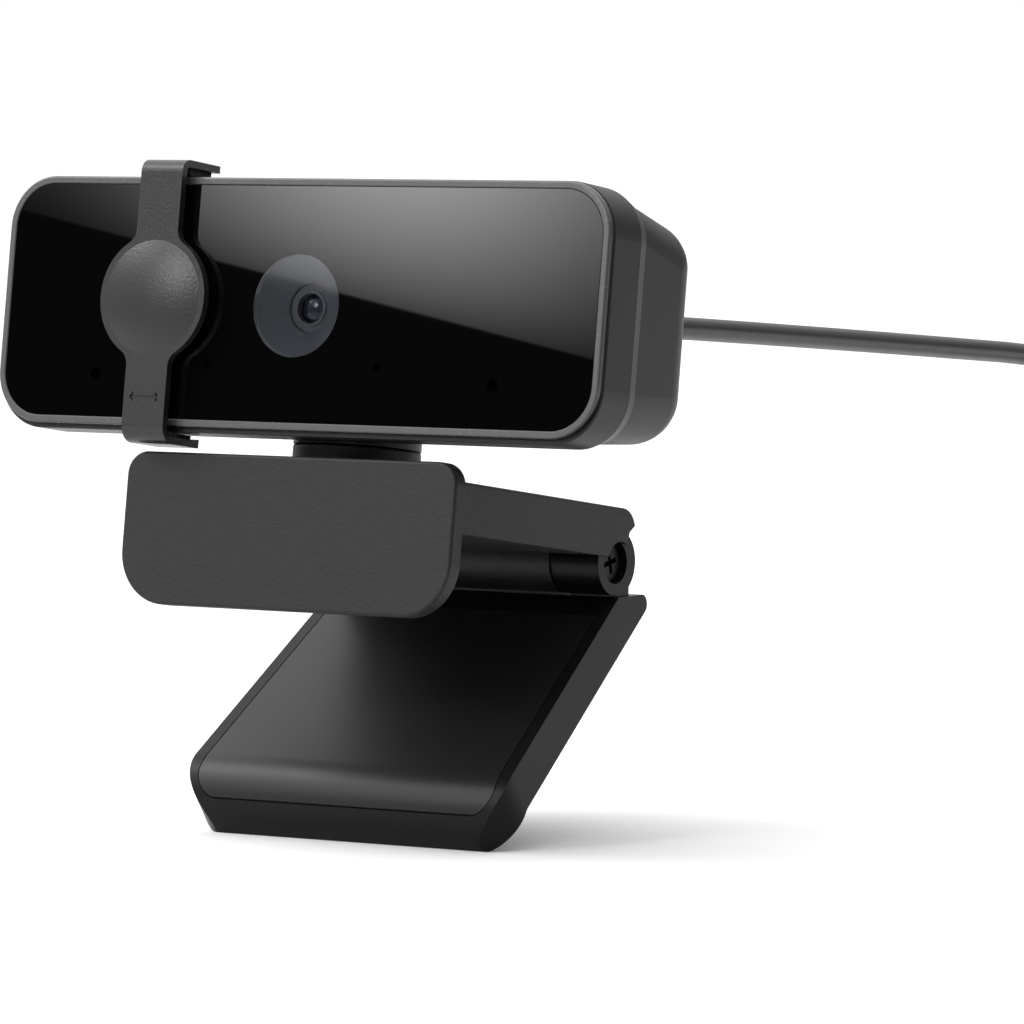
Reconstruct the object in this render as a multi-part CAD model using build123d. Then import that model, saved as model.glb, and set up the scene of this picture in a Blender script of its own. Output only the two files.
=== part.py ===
from build123d import *
import math
import os

# Clip-on webcam standing on its own folded-out clip leg.
# Millimetres, +Z up, the lens looks along -Y, +X is to the right of someone facing the lens.
# The head and the clip are drawn square in a head frame whose origin is the middle of the front glass,
# with Y running back into the head. One turn about X, the head tilt, stands them up. The leg is drawn
# hanging straight down from its hinge axis, with its front face towards -Y, and is then swung forward.

# ---- driving dimensions -------------------------------------------------------------------------
HEAD_TILT = 8.0            # degrees the head and clip lean back
LEG_SWING = 54.8           # degrees the leg is swung forward from straight down

# head, outline half sizes about the glass centre
RING_HALF_W = 52.0         # trim ring
RING_HALF_H = 18.1
RING_CORNER_R = 7.6
RING_WIDTH = 1.1           # width of the trim ring seen from the front
BAND_SIDE = 0.3            # how far the housing stands outside the ring at the sides
BAND_TOP = 0.1             # and above it
BAND_BELOW = 0.7           # and below it
BAND_FRONT_Y = 0.9
BAND_BACK_Y = 7.8
SPLIT_Y = 10.2             # where the front housing meets the rear cover
SPLIT_INSET = 0.7          # the housing's back edge is bevelled in by this much
COVER_STEP = 0.25          # the rear cover starts this much inside the bevelled edge
COVER_BACK_Y = 26.9
COVER_BACK_HALF_W = 50.8
COVER_BACK_TOP = 14.0
COVER_BACK_BOTTOM = -16.3
COVER_BACK_CORNER_R = 7.0
COVER_BACK_ROUND = 6.0
WALL = 1.8
FRONT_WALL = 1.4

# glass, lens and small openings in the face
GLASS_T = 0.8
GLASS_GAP = 0.08
LENS_Z = -0.2
WINDOW_R = 7.45
CONE_FLOOR_Y = 3.8
CONE_FLOOR_R = 3.5
LENS_BARREL_R = 3.4
LENS_GLASS_R = 2.5
MIC_X = 34.4
MIC_Z = -10.8
MIC_HOLE_R = 0.9
PIPE_X = 14.75
PIPE_Z = -8.8
PIPE_R = 0.6

# electronics
BOARD_Y = 11.6             # front face of the circuit board
BOARD_T = 1.0
BOARD_HALF_W = 44.0
BOARD_HALF_H = 10.5
BOARD_SCREW_X = 40.0
BOARD_SCREW_Z = 7.6
SCREW_R = 0.8
SCREW_HEAD_R = 1.7
SCREW_HEAD_T = 1.0

# neck and its swivel
NECK_Y = 18.2
NECK_R = 9.3
SPINDLE_R = 4.0
RUN_GAP = 0.05             # radial running clearance of a turning fit
LIFT_GAP = 0.1             # clearance between faces that turn over each other
SEAT_T = 2.4               # thickness of the cover's floor under the swivel
WASHER_T = 0.6
CAP_R = 6.0
CAP_T = 1.6

# clip
PLATE_HALF_W = 28.6
PLATE_TOP = -21.6
PLATE_BOTTOM = -43.7
PLATE_FRONT_Y = 1.6
PLATE_T = 2.9
PLATE_TOP_R = 3.4
PLATE_BOTTOM_R = 7.8
PLATE_PAD_T = 0.8
ARM_HALF_W = 25.2
ARM_TOP = -23.8
ARM_BOTTOM = -31.2
ARM_BACK_Y = 55.4
ARM_WALL = 1.6
ARM_ROOF = 2.2
ARM_PAD_T = 1.0
LIP_BACK = 3.8             # the arm's rear lip reaches this far behind the hinge axis
HINGE_Y = ARM_BACK_Y - LIP_BACK
HINGE_Z = -31.9
BARREL_R = 4.8
KNUCKLE_LEN = 8.0          # length of each of the leg's two outer knuckles
KNUCKLE_BULGE = 0.6        # the knuckles are this much fuller at the back
HINGE_PIN_R = 1.5
HINGE_SCREW_HEAD_R = 3.0
HINGE_SCREW_HEAD_T = 1.6
HINGE_RECESS = 1.0         # how far the screw head sits inside the knuckle's end

# leg, measured from the hinge axis
LEG_FACE = 4.1             # the leg's front face lies this far behind the hinge axis
LEG_T = 6.6
LEG_TOP_DROP = 5.1         # the slab's top is cut level, this far under the axis, when the leg is swung out
LEG_TOP_ROUND = 1.4
CRADLE_H = 1.6             # between the knuckles it rises this much, and cradles the middle barrel
LEG_HALF_W_AT_AXIS = 24.85
LEG_TAPER = 0.068          # half width gained per mm of leg
LEG_TOE = 50.9             # where the front face would meet the toe
LEG_HEEL = 50.4            # where the toe meets the foot's back
LEG_HEEL_Y = 13.1          # the foot is thicker than the slab, out to here
LEG_FOOT_TOP = 43.0        # and starts this far down
LEG_TOE_ROUND = 7.8
LEG_HEEL_ROUND = 0.5
LEG_CORNER_R = 7.0
PAD_INSET = 2.1
PAD_SEAM = 0.18
PAD_T = 1.2
INSERT_R = 4.0
INSERT_DEPTH = 5.0
INSERT_BORE_R = 2.55       # plain bore on a 1/4 in - 20 thread's minor radius
INSERT_S = 26.0

# privacy shutter, a C-shaped strap that slides along the head
SHUTTER_X = -23.6          # where it is parked, beside the lens
STRAP_HALF_W = 3.65
STRAP_T = 1.2
STRAP_FRONT_GAP = 1.3      # between the glass and the back of the strap
HOOK_T = 1.05
HOOK_TOP_GAP = 1.2         # between the head's top and the upper hook
HOOK_LOW_GAP = 0.8
HOOK_REACH = 6.7           # the hooks reach this far behind the glass
HOOK_TOP_ROUND = 1.9       # outer radius of the upper bend
HOOK_LOW_ROUND = 2.6
DISC_R = 9.2
DISC_Z = 0.3
DISC_DOME = 1.1            # how far the domed disc stands in front of the strap
DISC_RIM = 0.9             # flat rim left round the dome
DISC_NECK_R = 2.4          # concave corner where the strap runs into the disc
ARROW_Z = -14.1            # engraved double arrow on the lower strap
ARROW_HALF_L = 2.7
ARROW_HEAD = 0.75
ARROW_LINE = 0.32
ARROW_DEPTH = 0.25
SHUTTER_PAD_CLEAR = 0.15   # felt pads under the hooks stop this far from the head

# cable
CABLE_R = 1.85
CABLE_X = 0.0
CABLE_Z = 3.0
GLAND_R = 3.4
GLAND_TIP_R = 2.4
GLAND_LEN = 14.0

os.makedirs("parts", exist_ok=True)


# ---- drawing helpers ----------------------------------------------------------------------------
def outline(y, half_w, top, bottom, radius, bottom_radius=None):
    """A rounded rectangle facing -Y at depth y, as a face."""
    low = radius if bottom_radius is None else bottom_radius
    w = half_w
    with BuildSketch(Plane(origin=(0, y, 0), x_dir=(1, 0, 0), z_dir=(0, -1, 0))) as sketch:
        with BuildLine():
            Line((-w + low, bottom), (w - low, bottom))
            RadiusArc((w - low, bottom), (w, bottom + low), -low)
            Line((w, bottom + low), (w, top - radius))
            RadiusArc((w, top - radius), (w - radius, top), -radius)
            Line((w - radius, top), (-w + radius, top))
            RadiusArc((-w + radius, top), (-w, top - radius), -radius)
            Line((-w, top - radius), (-w, bottom + low))
            RadiusArc((-w, bottom + low), (-w + low, bottom), -low)
        make_face()
    return sketch.sketch.faces()[0]


def slab(y0, y1, half_w, top, bottom, radius, bottom_radius=None):
    """A rounded rectangle from depth y0 to y1."""
    face = outline(y0, half_w, top, bottom, radius, bottom_radius)
    return extrude(face, y1 - y0, dir=(0, 1, 0))


def rounded(plane, points, radii):
    """A flat face through the points of a plane; radii gives a corner's radius by its place in the list."""
    with BuildSketch(plane) as sketch:
        with BuildLine():
            Polyline(*points, close=True)
        make_face()
        for place, radius in radii.items():
            fillet(sketch.vertices().sort_by_distance((*points[place], 0))[0], radius)
    return sketch.sketch.faces()[0]


def tapered(first, second):
    return loft([first, second], ruled=True)


def rod_y(x, z, radius, y0, y1):
    """A round rod along Y."""
    return Pos(x, (y0 + y1) / 2, z) * Rot(X=90) * Cylinder(radius, abs(y1 - y0))


def rod_x(x0, x1, y, z, radius):
    return Pos((x0 + x1) / 2, y, z) * Rot(Y=90) * Cylinder(radius, abs(x1 - x0))


def rod_z(x, y, radius, z0, z1):
    return Pos(x, y, (z0 + z1) / 2) * Cylinder(radius, abs(z1 - z0))


def cone_y(x, z, r0, r1, y0, y1):
    """A cone along Y, radius r0 at y0 and r1 at y1."""
    return Pos(x, (y0 + y1) / 2, z) * Rot(X=-90) * Cone(r0, r1, y1 - y0)


def block(x0, x1, y0, y1, z0, z1):
    return Pos((x0 + x1) / 2, (y0 + y1) / 2, (z0 + z1) / 2) * Box(x1 - x0, y1 - y0, z1 - z0)


def both_sides(shape):
    return [shape, mirror(shape, about=Plane.YZ)]


def whole(shape):
    """The one solid of a shape that should be one piece."""
    solids = shape.solids()
    return max(solids, key=lambda s: s.volume)


# ---- head: trim ring, glass and housings ---------------------------------------------------------
def ring_outline(y, inset):
    h = RING_HALF_H - inset
    return outline(y, RING_HALF_W - inset, h, -h, RING_CORNER_R - inset)


def band_outline(y, inset):
    return outline(y, BAND_HALF_W - inset, BAND_Z1 - inset, BAND_Z0 + inset, BAND_CORNER_R - inset)


def cover_front_outline(y, inset):
    step = SPLIT_INSET + COVER_STEP + inset
    return outline(y, BAND_HALF_W - step, BAND_Z1 - step, BAND_Z0 + step, BAND_CORNER_R - step)


def cover_back_outline(y, inset):
    return outline(y, COVER_BACK_HALF_W - inset, COVER_BACK_TOP - inset, COVER_BACK_BOTTOM + inset,
                   COVER_BACK_CORNER_R - inset)


BAND_HALF_W = RING_HALF_W + BAND_SIDE
BAND_Z1 = RING_HALF_H + BAND_TOP
BAND_Z0 = -RING_HALF_H - BAND_BELOW
BAND_CORNER_R = RING_CORNER_R + BAND_SIDE
GLASS_INSET = RING_WIDTH + GLASS_GAP
HOUSING_IN_Y = BAND_FRONT_Y + FRONT_WALL
HOLE_GAP = 0.1             # clearance round a piece that drops into a hole
MIC_SPOTS = [(-MIC_X, MIC_Z), (MIC_X, MIC_Z)]
PIPE_SPOTS = [(-PIPE_X, PIPE_Z), (PIPE_X, PIPE_Z)]
BOARD_SCREW_SPOTS = [(sx * BOARD_SCREW_X, sz * BOARD_SCREW_Z) for sx in (-1, 1) for sz in (-1, 1)]
BOSS_R = 2.2
CONE_OUT_R = WINDOW_R + 0.35
RING_PROUD = 0.1           # the ring stands this far in front of the glass


def make_trim_ring():
    ring = extrude(ring_outline(-RING_PROUD, 0), BAND_FRONT_Y + RING_PROUD, dir=(0, 1, 0))
    ring = fillet(ring.faces().sort_by(Axis.Y)[0].edges(), 0.35)
    hole = extrude(ring_outline(-1, RING_WIDTH), BAND_FRONT_Y + 2, dir=(0, 1, 0))
    ring = ring - hole
    return chamfer(ring.faces().sort_by(Axis.Y)[0].inner_wires()[0].edges(), 0.12)


def make_front_glass():
    glass = extrude(ring_outline(0, GLASS_INSET), GLASS_T, dir=(0, 1, 0))
    glass -= rod_y(0, LENS_Z, WINDOW_R, -1, GLASS_T + 1)
    for x, z in MIC_SPOTS:
        glass -= rod_y(x, z, MIC_HOLE_R, -1, GLASS_T + 1)
    for x, z in PIPE_SPOTS:
        glass -= rod_y(x, z, PIPE_R, -1, GLASS_T + 1)
    return glass


def make_lens_window():
    return rod_y(0, LENS_Z, WINDOW_R - HOLE_GAP / 2, 0, GLASS_T)


def make_front_housing():
    front = extrude(band_outline(BAND_FRONT_Y, 0), BAND_BACK_Y - BAND_FRONT_Y, dir=(0, 1, 0))
    front = fillet(front.faces().sort_by(Axis.Y)[0].edges(), 0.25)
    body = front + tapered(band_outline(BAND_BACK_Y, 0), band_outline(SPLIT_Y, SPLIT_INSET))
    body -= extrude(band_outline(HOUSING_IN_Y, WALL), SPLIT_Y - HOUSING_IN_Y + 1, dir=(0, 1, 0))
    for x, z in BOARD_SCREW_SPOTS:
        body += rod_y(x, z, BOSS_R, HOUSING_IN_Y - 0.2, BOARD_Y)
        body -= rod_y(x, z, SCREW_R, BOARD_Y - SCREW_LEN - 0.5, BOARD_Y + 1)
    body -= rod_y(0, LENS_Z, CONE_OUT_R + HOLE_GAP, 0, HOUSING_IN_Y + 1)
    for x, z in MIC_SPOTS:
        body -= rod_y(x, z, MIC_HOLE_R, 0, HOUSING_IN_Y + 1)
    for x, z in PIPE_SPOTS:
        body -= rod_y(x, z, PIPE_R + HOLE_GAP, 0, HOUSING_IN_Y + 1)
    return body


SCREW_LEN = 6.0
SEAT_Z = BAND_Z0 - 0.1     # underside of the seat that turns on the neck
FLOOR_Z = SEAT_Z + SEAT_T  # top of that floor, inside the head
TONGUE_T = 0.8
TONGUE_LEN = 1.8
TONGUE_GAP = 0.1


def make_rear_cover():
    outer = tapered(cover_front_outline(SPLIT_Y, 0), cover_back_outline(COVER_BACK_Y, 0))
    outer = fillet(outer.faces().sort_by(Axis.Y)[-1].edges(), COVER_BACK_ROUND)
    inner = tapered(cover_front_outline(SPLIT_Y, WALL), cover_back_outline(COVER_BACK_Y - WALL, WALL))
    inner = fillet(inner.faces().sort_by(Axis.Y)[-1].edges(), COVER_BACK_ROUND - WALL)
    seat = rod_z(0, NECK_Y, NECK_R, SEAT_Z, FLOOR_Z)
    seat = seat & block(-20, 20, SPLIT_Y + 0.1, COVER_BACK_Y - WALL / 2, SEAT_Z, FLOOR_Z)
    cover = outer + seat - (inner - seat)
    tongue = extrude(band_outline(SPLIT_Y - TONGUE_LEN, WALL + TONGUE_GAP),
                     TONGUE_LEN + WALL, dir=(0, 1, 0))
    tongue -= extrude(band_outline(SPLIT_Y - TONGUE_LEN - 1, WALL + TONGUE_GAP + TONGUE_T),
                      TONGUE_LEN + WALL + 2, dir=(0, 1, 0))
    cover += tongue & outer_reach(outer)
    cover -= rod_z(0, NECK_Y, SPINDLE_R + RUN_GAP, SEAT_Z - 5, FLOOR_Z + 1)
    cover -= rod_z(0, NECK_Y, CAP_R + 0.3, FLOOR_Z, FLOOR_Z + 6)
    cover -= rod_y(CABLE_X, CABLE_Z, GLAND_R + HOLE_GAP / 2, COVER_BACK_Y - 3 * WALL, COVER_BACK_Y + 1)
    return whole(cover)


def outer_reach(outer):
    """Everything in front of the split, and inside the cover behind it."""
    return outer + block(-60, 60, SPLIT_Y - 5, SPLIT_Y, -30, 30)


# ---- head: lens, board and small electronics -----------------------------------------------------
CONE_BACK_Y = CONE_FLOOR_Y + 0.8
HOLDER_HALF = 4.8
HOLDER_FRONT_Y = 8.0
BARREL_BACK_Y = 10.2
BARREL_RING_R = 2.65       # raised ring round the front lens


def make_lens_cone():
    cone = rod_y(0, LENS_Z, CONE_OUT_R, BAND_FRONT_Y, CONE_BACK_Y)
    cone -= cone_y(0, LENS_Z, WINDOW_R - 0.3, CONE_FLOOR_R, BAND_FRONT_Y, CONE_FLOOR_Y)
    return cone - rod_y(0, LENS_Z, CONE_FLOOR_R, CONE_FLOOR_Y - 0.1, CONE_BACK_Y + 1)


def make_lens_barrel():
    face_y = CONE_FLOOR_Y + 0.1
    barrel = rod_y(0, LENS_Z, LENS_BARREL_R, face_y + 0.3, BARREL_BACK_Y)
    barrel += rod_y(0, LENS_Z, BARREL_RING_R, face_y, face_y + 0.3)
    return barrel - rod_y(0, LENS_Z, LENS_GLASS_R - 0.3, face_y - 1, BARREL_BACK_Y + 1)


def lens_disc(radius, y0, y1, bulge):
    """A lens with a domed front and a flat back."""
    dome_r = (radius ** 2 + bulge ** 2) / (2 * bulge)
    ball = Pos(0, y0 + dome_r, LENS_Z) * Sphere(dome_r)
    return rod_y(0, LENS_Z, radius, y0, y1) & ball


def make_lens_holder():
    holder = block(-HOLDER_HALF, HOLDER_HALF, HOLDER_FRONT_Y, BOARD_Y,
                   LENS_Z - HOLDER_HALF, LENS_Z + HOLDER_HALF)
    holder -= rod_y(0, LENS_Z, LENS_BARREL_R + 0.02, HOLDER_FRONT_Y - 1, BARREL_BACK_Y)
    well = HOLDER_HALF - 1.0
    return holder - block(-well, well, BARREL_BACK_Y, BOARD_Y + 1, LENS_Z - well, LENS_Z + well)


MIC_FRONT_Y = BOARD_Y - 1.3
LED_FRONT_Y = BOARD_Y - 1.0
PIPE_FLANGE_R = 1.3
PIPE_SETBACK = 0.25        # the pipe's tip sits this far behind the glass face


def make_board():
    board = block(-BOARD_HALF_W, BOARD_HALF_W, BOARD_Y, BOARD_Y + BOARD_T, -BOARD_HALF_H, BOARD_HALF_H)
    board = fillet(board.edges().filter_by(Axis.Y), 1.5)
    for x, z in BOARD_SCREW_SPOTS:
        board -= rod_y(x, z, SCREW_R + HOLE_GAP, BOARD_Y - 1, BOARD_Y + BOARD_T + 1)
    return board


def make_board_screws():
    screws = []
    for x, z in BOARD_SCREW_SPOTS:
        back = BOARD_Y + BOARD_T
        screw = rod_y(x, z, SCREW_HEAD_R, back, back + SCREW_HEAD_T)
        screw += rod_y(x, z, SCREW_R - 0.01, BOARD_Y - SCREW_LEN, back)
        screw -= block(x - 0.9, x + 0.9, back + 0.5, back + 2, z - 0.2, z + 0.2)
        screw -= block(x - 0.2, x + 0.2, back + 0.5, back + 2, z - 0.9, z + 0.9)
        screws.append(screw)
    return Compound(children=screws)


def make_microphones():
    return Compound(children=[block(x - 1.9, x + 1.9, MIC_FRONT_Y, BOARD_Y, z - 1.5, z + 1.5)
                              - rod_y(x, z, 0.35, MIC_FRONT_Y - 1, MIC_FRONT_Y + 0.3)
                              for x, z in MIC_BOARD_SPOTS])


def make_microphone_boots():
    boots = []
    for x, z in MIC_SPOTS:
        boot = rod_y(x, z, 2.0, HOUSING_IN_Y, MIC_FRONT_Y)
        boots.append(boot - rod_y(x, z, MIC_HOLE_R, HOUSING_IN_Y - 1, MIC_FRONT_Y + 1))
    return Compound(children=boots)


MIC_BOARD_SPOTS = [(x, max(z, -BOARD_HALF_H + 1.6)) for x, z in MIC_SPOTS]


def make_light_pipes():
    pipes = []
    for x, z in PIPE_SPOTS:
        pipe = rod_y(x, z, PIPE_R - 0.04, PIPE_SETBACK, LED_FRONT_Y - 0.1)
        pipes.append(pipe + rod_y(x, z, PIPE_FLANGE_R, HOUSING_IN_Y, LED_FRONT_Y - 0.1))
    return Compound(children=pipes)


def make_status_leds():
    return Compound(children=[block(x - 0.8, x + 0.8, LED_FRONT_Y, BOARD_Y, z - 0.4, z + 0.4)
                              for x, z in PIPE_SPOTS])


BOARD_BACK_Y = BOARD_Y + BOARD_T
CONNECTOR_X = 14.0


def make_cable_connector():
    body = block(CONNECTOR_X - 5, CONNECTOR_X + 5, BOARD_BACK_Y, BOARD_BACK_Y + 3.4, -3.0, 2.0)
    return body - block(CONNECTOR_X - 4.2, CONNECTOR_X + 4.2, BOARD_BACK_Y + 0.8, BOARD_BACK_Y + 5, -2.2, 1.2)


# ---- swivel ----------------------------------------------------------------------------------------
NECK_TOP_Z = SEAT_Z - LIFT_GAP
WASHER_Z = FLOOR_Z + RUN_GAP
CAP_Z = WASHER_Z + WASHER_T
CAP_SCREW_R = 1.5
NECK_SCREW_X = 5.5
NECK_SCREW_R = 1.1


def make_swivel_neck():
    neck = rod_z(0, NECK_Y, NECK_R, ARM_TOP, NECK_TOP_Z)
    neck = fillet(neck.edges().group_by(Axis.Z)[-1], 0.4)
    neck += rod_z(0, NECK_Y, SPINDLE_R, NECK_TOP_Z - 0.1, CAP_Z)
    neck -= rod_z(0, NECK_Y, CAP_SCREW_R, CAP_Z - 6.0, CAP_Z + 1)
    for x in (-NECK_SCREW_X, NECK_SCREW_X):
        neck -= rod_z(x, NECK_Y, NECK_SCREW_R, ARM_TOP - 1, ARM_TOP + 3.5)
    return neck


def make_swivel_washer():
    ring = rod_z(0, NECK_Y, CAP_R, WASHER_Z, CAP_Z)
    return ring - rod_z(0, NECK_Y, SPINDLE_R + 0.1, WASHER_Z - 1, CAP_Z + 1)


def make_swivel_cap():
    cap = rod_z(0, NECK_Y, CAP_R, CAP_Z, CAP_Z + CAP_T)
    return cap - rod_z(0, NECK_Y, CAP_SCREW_R + 0.1, CAP_Z - 1, CAP_Z + CAP_T + 1)


def make_swivel_screw():
    top = CAP_Z + CAP_T
    screw = rod_z(0, NECK_Y, CAP_SCREW_R - 0.01, CAP_Z - 5.5, top)
    screw += rod_z(0, NECK_Y, 2.6, top, top + 1.4)
    for a in (0, 90):
        screw -= Pos(0, NECK_Y, top + 1.4) * Rot(Z=a) * Box(2.8, 0.5, 1.4)
    return screw


def make_neck_screws():
    screws = []
    for x in (-NECK_SCREW_X, NECK_SCREW_X):
        under = ARM_TOP - ARM_ROOF
        screw = rod_z(x, NECK_Y, NECK_SCREW_R - 0.01, under, ARM_TOP + 3.2)
        screw += rod_z(x, NECK_Y, 2.0, under - 1.2, under)
        for a in (0, 90):
            screw -= Pos(x, NECK_Y, under - 1.2) * Rot(Z=a) * Box(2.2, 0.4, 1.2)
        screws.append(screw)
    return Compound(children=screws)


# ---- clip --------------------------------------------------------------------------------------------
PLATE_BACK_Y = PLATE_FRONT_Y + PLATE_T
ARM_FLOOR_T = 1.2
FLOOR_SCREW_R = 1.0
FLOOR_SCREW_X = 17.0
FLOOR_SCREW_Y = (12.0, 40.0)
FLOOR_FRONT_Y = PLATE_BACK_Y + 2.2
FLOOR_BACK_Y = HINGE_Y - BARREL_R - 1.4
ARM_FLOOR_Z = ARM_BOTTOM + ARM_PAD_T
KNUCKLE_END_X = ARM_HALF_W - 0.8       # the leg's knuckles end inside the arm's side skirts
KNUCKLE_IN_X = KNUCKLE_END_X - KNUCKLE_LEN
HINGE_WASHER_T = 0.5
CENTRE_BARREL_X = KNUCKLE_IN_X - HINGE_WASHER_T - RUN_GAP
SWING_GAP = 0.3            # clearance round parts that swing past each other
SKIRT_GAP = 0.15
NOTCH_Y = HINGE_Y + 2.0
NOTCH_Z = HINGE_Z + BARREL_R - 0.1
ARM_LIP_ROUND = 3.5
NOTCH_SLOPE = 38.0         # degrees, the arm's rear lip clears the leg's top edge when it is open


def make_clip_plate():
    plate = slab(PLATE_FRONT_Y, PLATE_BACK_Y, PLATE_HALF_W, PLATE_TOP, PLATE_BOTTOM, PLATE_TOP_R, PLATE_BOTTOM_R)
    plate = fillet(plate.faces().sort_by(Axis.Y)[0].edges(), 0.45)
    return chamfer(plate.faces().sort_by(Axis.Y)[-1].edges(), 0.4)


def make_plate_pad():
    face = outline(PLATE_BACK_Y, PLATE_HALF_W - 3, ARM_BOTTOM - 1.5, PLATE_BOTTOM + 2, 2.0, PLATE_BOTTOM_R - 2.5)
    pad = extrude(face, PLATE_PAD_T, dir=(0, 1, 0))
    return fillet(pad.faces().sort_by(Axis.Y)[-1].edges(), 0.3)


def arm_slab():
    """The arm's side outline, without the hinge, as wide as the arm."""
    points = [(PLATE_BACK_Y, ARM_TOP), (ARM_BACK_Y, ARM_TOP), (ARM_BACK_Y, ARM_BOTTOM), (PLATE_BACK_Y, ARM_BOTTOM)]
    body = extrude(rounded(Plane.YZ, points, {1: ARM_LIP_ROUND}), ARM_HALF_W, both=True, dir=(1, 0, 0))
    rise = 6 * math.tan(math.radians(NOTCH_SLOPE))
    under_lip = [(NOTCH_Y, NOTCH_Z), (NOTCH_Y + 6, NOTCH_Z + rise), (NOTCH_Y + 6, ARM_BOTTOM - 1),
                 (HINGE_Y - 0.4, ARM_BOTTOM - 1), (HINGE_Y - 0.4, ARM_BOTTOM), (NOTCH_Y - 0.6, HINGE_Z + 2.6)]
    return body - extrude(rounded(Plane.YZ, under_lip, {}), 40, both=True, dir=(1, 0, 0))


def make_clip_arm():
    arm = arm_slab()
    arm = fillet([e for e in arm.edges() if e.length > 30 and abs(e.position_at(0.5).X) > ARM_HALF_W - 0.01
                  and e.position_at(0.5).Z > ARM_TOP - 0.01], 0.4)
    inside = ARM_HALF_W - ARM_WALL
    arm -= block(-inside, inside, FLOOR_FRONT_Y, FLOOR_BACK_Y, ARM_BOTTOM - 1, ARM_TOP - ARM_ROOF)
    for side in (-1, 1):
        a, b = side * CENTRE_BARREL_X, side * (KNUCKLE_END_X + SKIRT_GAP)
        arm -= rod_x(a, b, HINGE_Y, HINGE_Z, BARREL_R + KNUCKLE_BULGE + SWING_GAP)
    arm += rod_x(-CENTRE_BARREL_X, CENTRE_BARREL_X, HINGE_Y, HINGE_Z, BARREL_R)
    arm -= rod_x(-30, 30, HINGE_Y, HINGE_Z, HINGE_PIN_R)
    for side in (-1, 1):
        a, b = side * (KNUCKLE_END_X + SKIRT_GAP), side * (ARM_HALF_W + 1)
        arm -= rod_x(a, b, HINGE_Y, HINGE_Z, HINGE_SCREW_HEAD_R + 0.15)
    for x in (-NECK_SCREW_X, NECK_SCREW_X):
        arm -= rod_z(x, NECK_Y, NECK_SCREW_R + 0.1, ARM_TOP - 5, ARM_TOP + 1)
    for x in (-FLOOR_SCREW_X, FLOOR_SCREW_X):
        for y in FLOOR_SCREW_Y:
            arm += rod_z(x, y, 2.0, ARM_FLOOR_Z + ARM_FLOOR_T, ARM_TOP - ARM_ROOF)
            arm -= rod_z(x, y, FLOOR_SCREW_R, ARM_FLOOR_Z, ARM_TOP - ARM_ROOF + 0.8)
    return whole(arm)


def make_arm_floor():
    half = ARM_HALF_W - ARM_WALL - 0.1
    floor = block(-half, half, FLOOR_FRONT_Y + 0.1, FLOOR_BACK_Y - 0.1, ARM_FLOOR_Z, ARM_FLOOR_Z + ARM_FLOOR_T)
    for x in (-FLOOR_SCREW_X, FLOOR_SCREW_X):
        for y in FLOOR_SCREW_Y:
            floor -= rod_z(x, y, FLOOR_SCREW_R + 0.1, ARM_FLOOR_Z - 1, ARM_FLOOR_Z + 3)
    return floor


def make_floor_screws():
    screws = []
    for x in (-FLOOR_SCREW_X, FLOOR_SCREW_X):
        for y in FLOOR_SCREW_Y:
            screw = rod_z(x, y, FLOOR_SCREW_R - 0.01, ARM_FLOOR_Z, ARM_TOP - ARM_ROOF + 0.5)
            screws.append(screw + rod_z(x, y, 1.8, ARM_FLOOR_Z - 0.7, ARM_FLOOR_Z))
    return Compound(children=screws)


def make_arm_pad():
    half = ARM_HALF_W - ARM_WALL - 0.6
    pad = block(-half, half, FLOOR_FRONT_Y + 0.6, FLOOR_BACK_Y - 0.6, ARM_BOTTOM, ARM_FLOOR_Z)
    pad = fillet(pad.edges().filter_by(Axis.Z), 1.5)
    for x in (-FLOOR_SCREW_X, FLOOR_SCREW_X):
        for y in FLOOR_SCREW_Y:
            pad -= rod_z(x, y, 2.2, ARM_BOTTOM - 1, ARM_FLOOR_Z + 1)
    return pad


HEAD_OUT_X = KNUCKLE_END_X - HINGE_RECESS
HEAD_IN_X = HEAD_OUT_X - HINGE_SCREW_HEAD_T


def make_hinge_screws():
    screw = rod_x(CENTRE_BARREL_X - 8.0, HEAD_IN_X, HINGE_Y, HINGE_Z, HINGE_PIN_R - 0.01)
    head = rod_x(HEAD_IN_X, HEAD_OUT_X, HINGE_Y, HINGE_Z, HINGE_SCREW_HEAD_R)
    head = fillet(head.faces().sort_by(Axis.X)[-1].edges(), 0.4)
    for a in (20, 110):
        head -= Pos(HEAD_OUT_X, HINGE_Y, HINGE_Z) * Rot(X=a) * Box(2.2, 3.4, 0.75)
    return Compound(children=both_sides(screw + head))


def make_hinge_washers():
    ring = rod_x(CENTRE_BARREL_X, CENTRE_BARREL_X + HINGE_WASHER_T, HINGE_Y, HINGE_Z, BARREL_R - 0.5)
    ring -= rod_x(CENTRE_BARREL_X - 1, CENTRE_BARREL_X + 2, HINGE_Y, HINGE_Z, HINGE_PIN_R + 0.1)
    return Compound(children=both_sides(ring))


# ---- leg, drawn hanging from the hinge axis at the origin ---------------------------------------------
def leg_profile(inset=0.0):
    """The leg's side outline in the YZ plane, shrunk on every side by the inset."""
    back = LEG_FACE + LEG_T
    swing = math.radians(LEG_SWING)
    top_front, top_back = ((y * math.sin(swing) - LEG_TOP_DROP) / math.cos(swing) for y in (LEG_FACE, back))
    points = [(LEG_FACE, top_front), (LEG_FACE, -LEG_TOE), (LEG_HEEL_Y, -LEG_HEEL), (back, -LEG_FOOT_TOP),
              (back, top_back)]
    face = rounded(Plane.YZ, points, {1: LEG_TOE_ROUND, 2: LEG_HEEL_ROUND, 4: LEG_TOP_ROUND})
    return offset(face, -inset).faces()[0] if inset else face


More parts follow.
